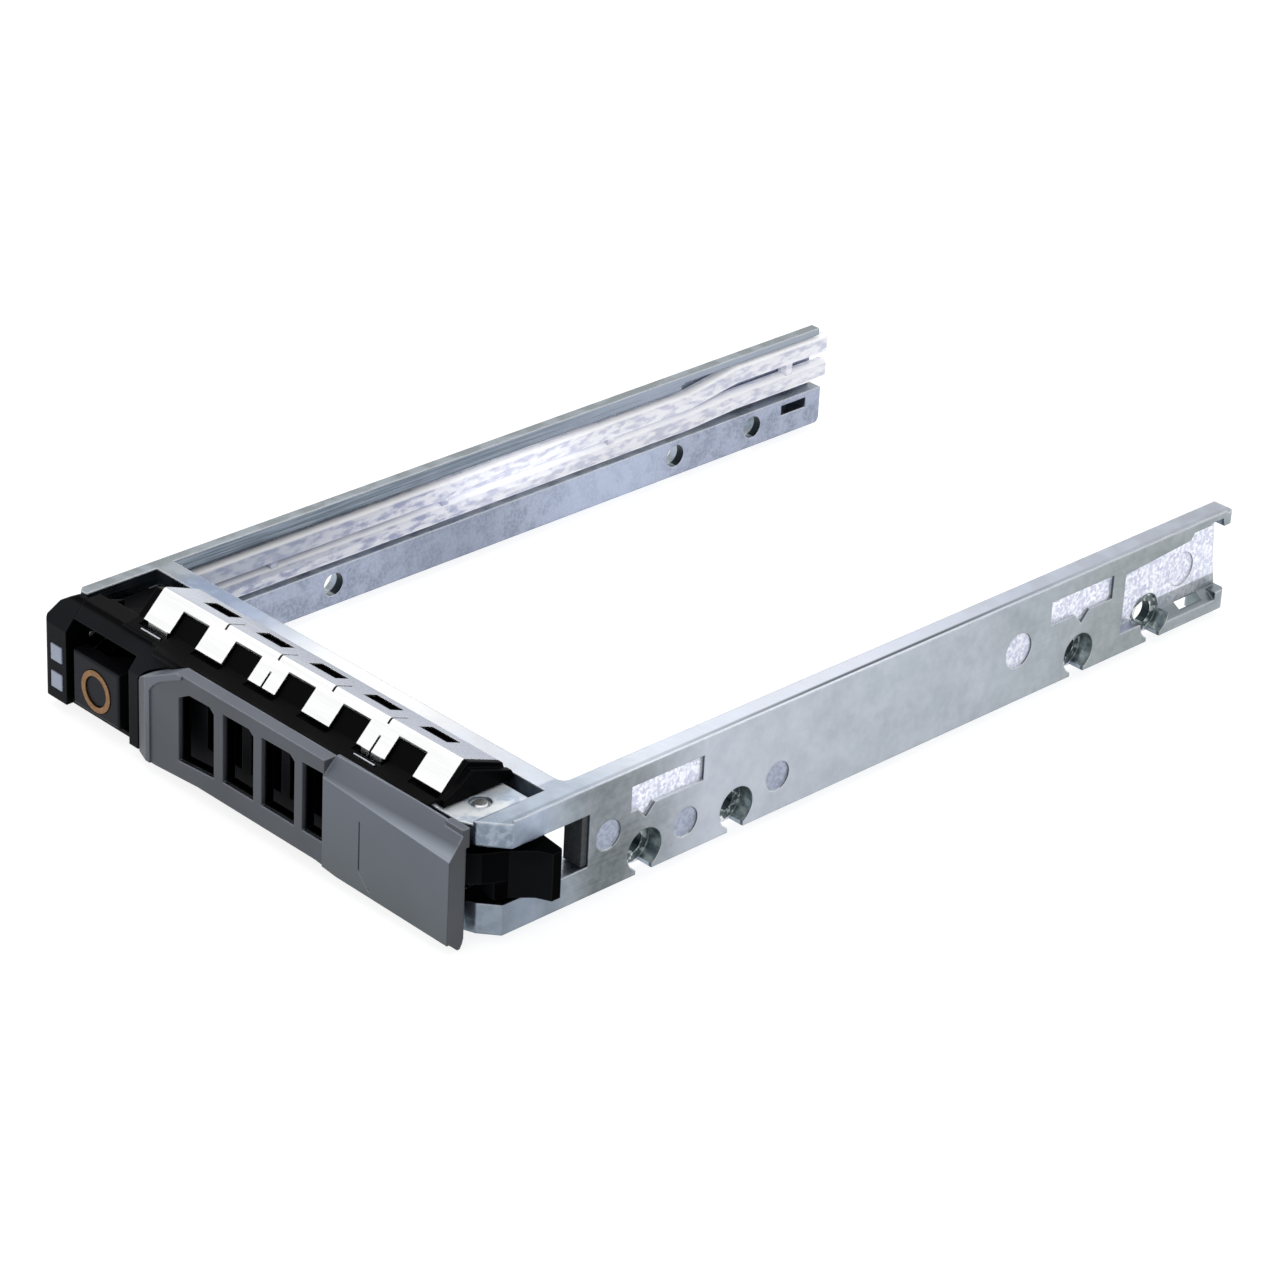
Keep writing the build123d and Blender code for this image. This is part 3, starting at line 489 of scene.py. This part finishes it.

# %% [markdown]
# ### Tones along and across the tray
#
# The outer side is greenish grey at both ends and paler in the middle. The tops carry a painted
# reflection of the room: the bar's top is grey at the left and white at the right, and the right
# rail's top is lightest from 12 to 50 mm. Ramps write that down, in millimetres from the cross bar's
# front or from the middle of the tray.

# %% Ramps of the casting
side_tone = ramp_mm(
    tree,
    along,
    [
        (-14, "78848F"),
        (-6, "A9B5C9"),
        (-1, "8A949C"),
        (4, "646C6E"),
        (8, "686F71"),
        (21, "BAC0CA"),
        (48, "B0B7C0"),
        (70, "AAB1B9"),
        (82, "9CA4AA"),
        (92, "9AA1A4"),
        (103, "929A9C"),
        (121, "99A1A5"),
    ],
)
rail_top_reflection = ramp_mm(
    tree,
    along,
    [(-14, "96A2B2"), (2, "B6C0CE"), (12, "DEE4EE"), (50, "DEE2EE"), (80, "B8BECB"), (112, "A8ADB8")],
)
across_top_reflection = ramp_mm(
    tree,
    across,
    [
        (-38, "838B8E"),
        (-33.5, "969CA0"),
        (-30, "8C9AB2"),
        (-19, "98A6C0"),
        (-6, "FAFBFC"),
        (8, "FFFFFF"),
        (21, "E0E3E9"),
        (33, "D4DAE4"),
    ],
)
lip_painted_shade = ramp_mm(
    tree, along, [(0, "5E6A75"), (50, "6C7884"), (65, "7E8895"), (85, "929CAC"), (120, "949CA6")]
)
print("ramps ready: side, rail top, across, lip")

# %% [markdown]
# ### Skins of the casting
#
# A linished skin shows faint belt lines and clouds. The sunk fields have the coarse, bright skin of
# metal that froze against a rough die. The left rail's inner side is cloudy, dull in its middle and
# brighter behind it, and its lip above the light pipe is smooth, with a painted shade that is darkest
# at the front and lighter towards the rear.

# %% Skins
linished = layered(
    tree,
    side_tone,
    (spread(tree, lines, 0.3, 0.7, 0.0, 0.1), "B4BBC4"),
    (times(tree, cloud_step, 0.2), "C9D0DA"),
    (times(tree, mottle_step, 0.06), "E6EAF0"),
)
mottled = layered(
    tree, "C6C9DC", (frost_step, "F4F6FC"), (times(tree, mottle_step, 0.4), "D4D8E8")
)
marks = layered(
    tree, "949CAD", (frost_step, "A6ADBF"), (spread_mm(tree, along, 60, 70, 0.0, 0.8), mottled)
)
plain_skin = layered(
    tree, "76828F", (cloud_step, "A4AFBE"), (times(tree, mottle_step, 0.35), "BAC4D2")
)
dull = times(tree, spread_mm(tree, along, 28, 46, 0.0, 0.45), spread_mm(tree, along, 62, 50))
bright = times(tree, spread_mm(tree, along, 58, 74, 0.0, 0.45), spread_mm(tree, along, 92, 80))
lip = between(tree, spread(tree, lines, 0.35, 0.65, 0.0, 0.45), lip_painted_shade, "A0A9B8")
cloudy = layered(
    tree,
    "8790A2",
    (times(tree, patch_step, 0.6), "ABB2C6"),
    (times(tree, frost_step, 0.3), "B8BED4"),
    (dull, "7F8797"),
    (bright, "BFCBE2"),
    (spread_mm(tree, height, 11.2, 11.5), lip),
)
print("skins ready: linished, mottled, marks, plain, cloudy, lip")

# %% [markdown]
# ### One skin for each kind of face
#
# The skins are laid over one another by mask. The tops take a painted reflection of the room, with a
# ramp of its own on the right rail's top. A painted shadow line lies at the foot of the bead that runs
# along its outer edge, and painted edge highlights come last.

# %% Faces of the casting
right_top = spread_mm(tree, across, 33.6, 34.0)
top_reflection = layered(
    tree, across_top_reflection, (right_top, rail_top_reflection), (times(tree, patch_step, 0.25), "C4CDDA")
)
bead_shadow_line = times(
    tree,
    spread_mm(tree, across, 37.05, 37.4),
    spread_mm(tree, across, 38.15, 38.1),
    tops,
    spread_mm(tree, along, 8, 50, 0.3, 1.0),
    spread_mm(tree, along, 95, 60, 0.15, 1.0),
)
colour = layered(
    tree,
    plain_skin,
    (left_side, cloudy),
    (sunk, between(tree, shallow, mottled, marks)),
    (outward, linished),
    (fronts, plain_skin),
    (tops, top_reflection),
    (bead_shadow_line, "5A646A"),
    (times(tree, edge_highlight, 0.6), "F6F8FC"),
)
print("faces of the casting laid over one another")

# %% [markdown]
# ### Shaded places of the casting
#
# The lower ear, the trough at the rear, the walls of the marks, the screw recesses, their bores and
# all inner corners are painted dark as painted shade, the inner corners less on the left rail than on
# the right.

# %% Shaded places
low_ear = times(
    tree, spread_mm(tree, height, 5.0, 4.4), spread_mm(tree, along, 0.0, -3.0, 0.0, 0.5)
)
trough = times(
    tree,
    in_wall,
    spread_mm(tree, along, 104, 105, 0.0, 0.6),
    spread_mm(tree, height, 4.6, 4.4),
)
mark_wall = times(
    tree,
    spread_mm(tree, across, 38.0, 38.1),
    spread(tree, face_x, 0.6, 0.3, 0.0, 0.8),
    spread(tree, face_y, -0.2, -0.5),
    spread_mm(tree, along, 0, 2),
)
# The recess walls get a painted shade and the recess floor a painted glint.
glint = spread(tree, mottle, 0.5, 0.58)
recess_shade_and_glint = between(
    tree,
    spread(tree, face_x, 0.5, 0.9),
    between(tree, mottle_step, "79858A", "A6B1B2"),
    between(tree, glint, "6C7678", "F2F6F8"),
)
shade = times(
    tree,
    in_hollow,
    spread_mm(tree, across, -33, -34, 0.75, 0.4),
    compute(tree, "SUBTRACT", 1.0, tops),
)
colour = layered(
    tree,
    colour,
    (low_ear, "5A6670"),
    (trough, "6A7574"),
    (mark_wall, "39434A"),
    (recess, recess_shade_and_glint),
    (bore, "242C30"),
    (shade, "4A5354"),
)
print("shaded: low ear, trough, mark walls, recesses, bores, corners")

# %% [markdown]
# ### Plates of the ears
#
# The two ears hold the handle's pin. The upper ear's flat plate carries a painted reflection of the
# room, so it is drawn almost white and only a quarter metallic. The lower ear's plate is painted dark,
# as painted shade under the handle. The rest of the casting is fully metallic, with the default index
# of a metal.

# %% Ear plates
plate = times(
    tree, spread_mm(tree, across, 27.6, 27.9), spread_mm(tree, along, -3.0, -3.4), tops
)
low_plate = times(tree, plate, spread_mm(tree, height, 5.0, 4.5))
high_plate = times(
    tree, plate, spread_mm(tree, height, 13.0, 13.3), spread_mm(tree, height, 13.85, 13.75)
)
plate_reflection = layered(tree, "B4C6DC", (cloud_step, "FDFEFF"), (patch_step, "F4F8FB"))
colour = layered(tree, colour, (low_plate, "2C323A"), (high_plate, plate_reflection))
tree.links.new(colour, shader.inputs["Base Color"])
tree.links.new(spread(tree, high_plate, 0.0, 1.0, 1.0, 0.25), shader.inputs["Metallic"])
print("plates laid on the ears")

# %% [markdown]
# ### Gloss and relief of the casting
#
# The gloss changes with the patches, and is duller on the linished side and in the sunk fields. The
# relief has flow waves 0.08 mm deep, mottling of 0.05 mm and fine pits.

# %% Gloss and relief of the casting
gloss = spread(tree, patches, 0.3, 0.7, 0.24, 0.42)
gloss = compute(tree, "ADD", gloss, times(tree, outward, 0.1))
gloss = compute(tree, "ADD", gloss, times(tree, sunk, 0.12))
tree.links.new(gloss, shader.inputs["Roughness"])
surface = rounded
for pattern, depth_mm in ((clouds, 0.08), (mottle, 0.05), (pits, 0.015)):
    surface = relief(tree, pattern, depth_mm, surface)
tree.links.new(surface, shader.inputs["Normal"])
wear(cast, "frame")


# %% [markdown]
# ## Moulded plastics
#
# The front is taken as black ABS from a spark-eroded mould, which leaves a fine even grain that breaks
# up the gloss. Its front faces lower than 13.6 mm are painted as a lighter black than its top, a
# little unevenly, as painted light from the front, and its rounded edges get a painted highlight. The
# arm, the catch and the button are drawn with the same function, because they differ only in colour,
# gloss and grain size. Such a grain is about 0.1 mm on a real part, and is drawn coarser here so that
# it shows.

# %% Moulded finish


def moulded(name, colour, front, roughness, shine, grain_mm, grain_depth, edge_mm):
    """Moulded plastic: one tone, a lighter tone as painted light on faces to the front, a painted edge
    highlight, an even grain, rounded edges.
    """
    material, tree, shader, place = finish_named(name)
    flat = flat_normal(tree)
    rounded = soft_edges(tree, edge_mm)
    lit = times(
        tree,
        spread(tree, xyz_of(tree, flat)[1], -0.3, -0.7),
        spread_mm(tree, xyz_of(tree, place)[2], 13.6, 13.2),
    )
    drift = spread(tree, grain(tree, place, 14.0, detail=3.0), 0.3, 0.7, 0.0, 0.25)
    tone = layered(tree, colour, (lit, front), (times(tree, lit, drift), "2A2C30"))
    moulded_edge_highlight = spread(tree, agreement(tree, rounded, flat), 0.98, 0.85, 0.0, 0.3)
    tone = between(tree, moulded_edge_highlight, tone, "34363A", blend="ADD")
    tree.links.new(tone, shader.inputs["Base Color"])
    fine = grain(tree, place, grain_mm, detail=2.0)
    gloss = spread(tree, fine, 0.3, 0.7, roughness - 0.04, roughness + 0.05)
    tree.links.new(gloss, shader.inputs["Roughness"])
    shader.inputs["IOR"].default_value = 1.53
    shader.inputs["Specular IOR Level"].default_value = shine
    tree.links.new(relief(tree, fine, grain_depth, rounded), shader.inputs["Normal"])
    return material


black_abs = moulded("black_abs_spark_grain", "040405", "18191C", 0.42, 0.025, 0.22, 0.012, 0.25)
arm_nylon = moulded("black_nylon_moulded", "000000", "010101", 0.4, 0.008, 0.3, 0.01, 0.3)
button_abs = moulded("black_abs_smooth", "0C0C0F", "202126", 0.34, 0.05, 0.25, 0.004, 0.25)
wear(black_abs, "bezel")
wear(arm_nylon, "handle_arm", "handle_catch")
wear(button_abs, "release_button")


# %% [markdown]
# ## The handle's cover
#
# The cover is taken as mid grey ABS with a smooth satin face. Its sunk field round the vents is darker
# than the rim, the facet along its top is painted lighter as painted light, with a painted highlight
# at the crease, and its end is dark. Each tone is found by depth, height and direction, as on the
# casting.

# %% Masks of the cover
grey_abs, tree, shader, place = finish_named("grey_abs_satin")
cover_x, cover_y, cover_z = xyz_of(tree, place)
flat = flat_normal(tree)
look_x, look_y, look_z = xyz_of(tree, flat)
deep = spread_mm(tree, cover_y, -17.05, -16.95)
frontal = spread(tree, look_y, -0.8, -0.95)
upward = spread(tree, look_z, 0.1, 0.3)
endwise = spread(tree, look_x, 0.5, 0.8)
in_vents = times(tree, spread_mm(tree, cover_x, -14, -13), spread_mm(tree, cover_x, 15, 14.8))
vent_wall_shade = times(tree, compute(tree, "SUBTRACT", deep, frontal), in_vents)
under_facet = spread_mm(tree, cover_z, 12.9, 12.7)
vent_wall_shade = compute(tree, "MULTIPLY", vent_wall_shade, under_facet, clamp=True)
print("masks: deep, frontal, upward, endwise, vent_wall_shade")

# %% [markdown]
# ### Tones of the cover
#
# The plain face gets a little lighter towards its top. The walls of the vents are painted almost
# black, as painted shade. Edges that look up are drawn lighter, a painted highlight for the rounded
# edge that mirrors the lamp overhead.

# %% Grey satin cover
plain = ramp_mm(tree, cover_z, [(0, "4A5155"), (6, "515861"), (11, "575D67")])
lit_facet = ramp_mm(
    tree, cover_z, [(9.5, "98A0AC"), (11.7, "949BA6"), (12.8, "5C6169"), (15, "636873")]
)
cover_rounded = soft_edges(tree, 0.3)
edge_light = times(
    tree,
    spread(tree, agreement(tree, cover_rounded, flat), 0.998, 0.95, 0.0, 0.65),
    spread(tree, xyz_of(tree, cover_rounded)[2], 0.05, 0.25),
)
drift = spread(tree, grain(tree, place, 14.0, detail=3.0), 0.3, 0.7, 0.0, 0.12)
tone = layered(
    tree,
    plain,
    (upward, lit_facet),
    (times(tree, deep, frontal), "3F434A"),
    (vent_wall_shade, "08080A"),
    (endwise, "383B40"),
    (drift, "767C87"),
    (edge_light, "A9B0BD"),
)
tree.links.new(tone, shader.inputs["Base Color"])
fine = grain(tree, place, 0.18, detail=2.0)
tree.links.new(spread(tree, fine, 0.3, 0.7, 0.36, 0.44), shader.inputs["Roughness"])
shader.inputs["IOR"].default_value = 1.53
shader.inputs["Specular IOR Level"].default_value = 0.25
tree.links.new(relief(tree, fine, 0.004, cover_rounded), shader.inputs["Normal"])
wear(grey_abs, "handle_cover")


# %% [markdown]
# ## Metal small parts
#
# The gasket is taken as cold rolled stainless spring sheet, bright with faint rolling lines along its
# length. Pin and screws could be turned and zinc plated steel, the springs are drawn wire, and the
# ring in the button is copper coloured metal. All are the same graph with another colour, gloss and
# line direction. A second tone is painted on the faces that look up and back, as a painted reflection
# of the room.

# %% Rolled, turned and drawn metal


def bright_metal(name, dark, light, away, roughness, line_mm, stretch, edge_mm):
    """Bright metal with fine lines; faces that look up and back take the tone called away, a painted
    reflection of the room.
    """
    material, tree, shader, place = finish_named(name)
    lines = grain(tree, place, line_mm, detail=2.0, stretch=stretch)
    reflection_facing = agreement(tree, flat_normal(tree), (0, 0.6, 0.8))
    tone = layered(
        tree,
        dark,
        (spread(tree, lines, 0.3, 0.7), light),
        (spread(tree, reflection_facing, 0.55, 0.8), away),
    )
    tree.links.new(tone, shader.inputs["Base Color"])
    shader.inputs["Metallic"].default_value = 1.0
    gloss = spread(tree, lines, 0.3, 0.7, roughness, roughness + 0.1)
    tree.links.new(gloss, shader.inputs["Roughness"])
    surface = relief(tree, lines, 0.003, soft_edges(tree, edge_mm))
    tree.links.new(surface, shader.inputs["Normal"])
    return material


gasket_steel = bright_metal(
    "stainless_sheet_rolled", "F8F9F9", "FFFFFF", "C0C5D1", 0.2, 0.6, (30, 1, 1), 0.12
)
pin_steel = bright_metal(
    "steel_turned_zinc_plated", "D4D7DA", "EEF0F2", "F6F8FA", 0.3, 0.2, (1, 1, 6), 0.2
)
wire_steel = bright_metal(
    "spring_wire_drawn", "C4C6CA", "E2E3E6", "D0D3D8", 0.2, 0.15, (1, 1, 1), 0.05
)
ring_copper = bright_metal(
    "copper_ring_satin", "70543A", "936E4B", "6A4F37", 0.3, 0.2, (1, 1, 1), 0.1
)
wear(gasket_steel, "emi_gasket")
wear(pin_steel, "pivot_pin", "bezel_screw_1", "bezel_screw_2")
wear(wire_steel, "handle_spring", "catch_spring")
wear(ring_copper, "button_ring")


# %% [markdown]
# ## Clear light pipe
#
# The light pipe is taken as clear moulded acrylic. Light from the board behind the tray travels along
# the two strands and leaves at the small windows in the front, which are frosted so that they glow
# evenly. The strands are drawn milky and pale lavender, with their tops white as a painted highlight.
# They are darker near the front, brightest in their middle as painted light, and painted black inside
# the moulding as painted shade, where no light gets in.

# %% Colour of the strands
acrylic, tree, shader, place = finish_named("clear_acrylic_moulded")
beside, along_strand, above = xyz_of(tree, place)
upright = xyz_of(tree, flat_normal(tree))[2]
frosted = spread_mm(tree, along_strand, -14.6, -14.2, 1.0, 0.0)
in_moulding = spread_mm(tree, along_strand, -2.0, -2.4)
low_strand = spread_mm(tree, above, 7.4, 7.1)
near_front = times(
    tree,
    spread_mm(tree, along_strand, 45, 15, 0.0, 0.6),
    spread(tree, low_strand, 0.0, 1.0, 1.0, 0.2),
)
bend_highlight = times(
    tree,
    spread(tree, upright, 0.5, 0.8, 0.0, 0.9),
    spread_mm(tree, beside, -36.9, -36.4, 0.25, 1.0),
)
streaks = grain(tree, place, 0.8, detail=4.0, stretch=(1, 3, 1))
milky = layered(
    tree,
    "AEB3D2",
    (spread(tree, streaks, 0.36, 0.6), "F6F7FF"),
    (near_front, "9EA7BD"),
    (spread_mm(tree, along_strand, 44, 58, 0.0, 0.35), "FFFFFF"),
    (bend_highlight, "FFFFFF"),
    (in_moulding, "0A0A0C"),
)
tree.links.new(between(tree, frosted, milky, "939DB0"), shader.inputs["Base Color"])
tree.links.new(milky, shader.inputs["Emission Color"])
print("strands are black from", -2.0, "mm forward, windows start at", -14.2, "mm")

# %% [markdown]
# ### Light in the strands
#
# Real acrylic passes on light that enters at its ends and at its bends. Path tracing would need many
# samples for that, so a weak painted glow stands for it: on the bright tops, under the lower strand,
# and strongest in the middle of the length. The refractive index is that of acrylic, 1.49.

# %% Glow and gloss of the strands
under = times(tree, low_strand, spread(tree, upright, -0.2, -0.5, 0.0, 0.3))
bend_glow = times(tree, bend_highlight, spread_mm(tree, along_strand, 10, 45, 0.06, 0.16))
middle_glow = compute(
    tree,
    "SUBTRACT",
    spread_mm(tree, along_strand, 38, 56, 0.01, 0.24),
    spread_mm(tree, along_strand, 60, 80, 0.0, 0.16),
)
middle_glow = times(tree, middle_glow, spread(tree, low_strand, 0.0, 1.0, 1.0, 0.4))
glow = compute(tree, "ADD", compute(tree, "ADD", bend_glow, under), middle_glow)
glow = times(tree, glow, compute(tree, "SUBTRACT", 1.0, in_moulding))
tree.links.new(glow, shader.inputs["Emission Strength"])
shader.inputs["IOR"].default_value = 1.49
tree.links.new(spread(tree, frosted, 0.0, 1.0, 0.15, 0.1), shader.inputs["Transmission Weight"])
tree.links.new(spread(tree, frosted, 0.0, 1.0, 0.12, 0.4), shader.inputs["Roughness"])
waves = grain(tree, place, 2.2, detail=1.0, stretch=(1, 3, 1))
tree.links.new(relief(tree, waves, 0.03, soft_edges(tree, 0.3)), shader.inputs["Normal"])
wear(acrylic, "light_pipe")


# %% [markdown]
# ## Dark pad
#
# The pad on the rear wall of the hook's opening is taken as cut from black rubber sheet, matt and a
# little dusty. It is drawn as a dark grey with a rough, uneven gloss.

# %% Rubber
rubber, tree, shader, place = finish_named("black_rubber_cut")
dust = grain(tree, place, 0.4)
dusty = between(tree, spread(tree, dust, 0.4, 0.7), "303437", "454A4E")
tree.links.new(dusty, shader.inputs["Base Color"])
tree.links.new(spread(tree, dust, 0.3, 0.7, 0.6, 0.8), shader.inputs["Roughness"])
wear(rubber, "opening_pad")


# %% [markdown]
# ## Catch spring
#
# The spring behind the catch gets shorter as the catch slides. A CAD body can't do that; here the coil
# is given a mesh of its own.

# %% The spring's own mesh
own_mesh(nodes["catch_spring"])


# %% [markdown]
# ## Lips above the left recesses
#
# In the CAD body the screw recesses of the left rail reach 0.35 mm above the floor of the light
# pipe's channel, which leaves slits that one can see through. The photograph shows none. Two small
# blocks at each recess close its slit: one in the rail's outer wall and one in the channel's floor.

# %% Shape of the lips
lip_length = 3.1
lip_blocks = [  # each is its span across and its span in height, in mm
    ((0.1 - OUTER_FACE, 0.95 - OUTER_FACE), (5.2, 5.8)),
    ((0.95 - OUTER_FACE, 2.18 - OUTER_FACE), (5.2, 5.42)),
]
sides = ((0, 1, 3, 2), (4, 6, 7, 5), (0, 4, 5, 1), (2, 3, 7, 6), (0, 2, 6, 4), (1, 5, 7, 3))
lip_corners, lip_faces = [], []
for row in SCREW_ROWS:
    for x_span, z_span in lip_blocks:
        start = len(lip_corners)
        for x in x_span:
            for y in (row - lip_length / 2, row + lip_length / 2):
                lip_corners += [(x * MM, y * MM, z * MM) for z in z_span]
        lip_faces += [tuple(start + corner for corner in side) for side in sides]
lip_mesh = bpy.data.meshes.new("recess_lips")
lip_mesh.from_pydata(lip_corners, [], lip_faces)
recess_lips = bpy.data.objects.new("recess_lips", lip_mesh)
scene.collection.objects.link(recess_lips)
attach(recess_lips, "tray")
print("lips:", len(lip_faces), "faces")

# %% [markdown]
# ### Finish of the lips
#
# The lips are rough cast metal that no tool has touched. They lie in shade, so their dark grey is
# painted shade, and they are matt.

# %% Rough casting
rough_cast, tree, shader, place = finish_named("zinc_die_cast_rough")
spots = grain(tree, place, 0.6)
spotted = between(tree, spread(tree, spots, 0.4, 0.6), "4A5157", "636B72")
tree.links.new(spotted, shader.inputs["Base Color"])
tree.links.new(spread(tree, spots, 0.3, 0.7, 0.55, 0.75), shader.inputs["Roughness"])
lip_mesh.materials.append(rough_cast)
print(rough_cast.name, "on", recess_lips.name)


# %% [markdown]
# ## Finish
#
# The colours are shown as they are written, with the Standard view.

# %% Finish
scene.view_settings.view_transform = "Standard"
